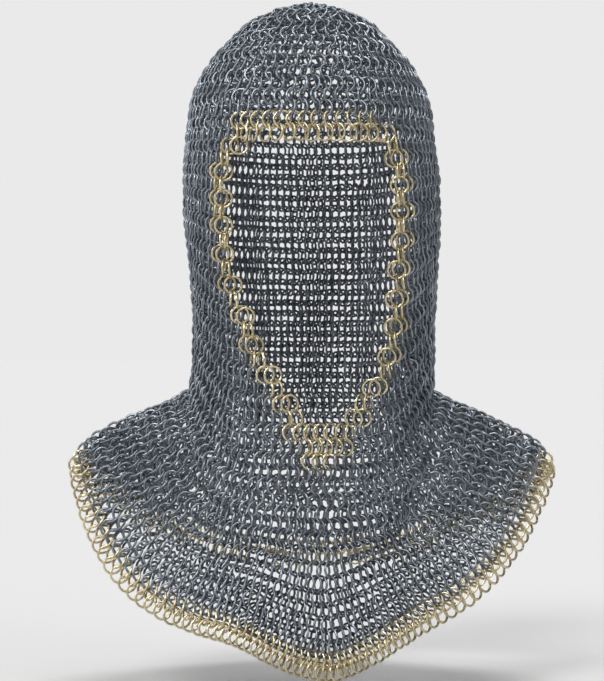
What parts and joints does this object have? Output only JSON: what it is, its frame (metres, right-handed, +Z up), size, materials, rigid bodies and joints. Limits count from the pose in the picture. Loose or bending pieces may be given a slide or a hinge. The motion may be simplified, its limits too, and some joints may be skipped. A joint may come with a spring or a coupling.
{
  "type": "chainmail coif",
  "caption": "Mail hood with a V-shaped face opening and a round shoulder mantle, with brass rings along the face edge and the hem.",
  "frame": {"origin": "inside of the crown's top, where the wearer's head carries the coif", "axes": "+Z up, -Y the way the face opening looks, +X the viewer's right from the front"},
  "size_m": [0.3282, 0.237, 0.4484],
  "materials": {
    "steel_mail": "dark blued steel rings, satin",
    "brass_mail": "aged brass rings, satin"
  },
  "bodies": {
    "root": {"crown_top": "steel_mail", "crown_band": "steel_mail", "hood_left": "steel_mail", "hood_right": "steel_mail", "hood_back": "steel_mail", "throat_panel": "steel_mail", "mantle_front": "steel_mail", "mantle_left": "steel_mail", "mantle_right": "steel_mail", "mantle_back": "steel_mail", "edge_forehead": "brass_mail", "edge_face_left": "brass_mail", "edge_face_right": "brass_mail", "hem_front": "brass_mail", "hem_left": "brass_mail", "hem_right": "brass_mail", "hem_back": "brass_mail"}
  },
  "joints": []
}
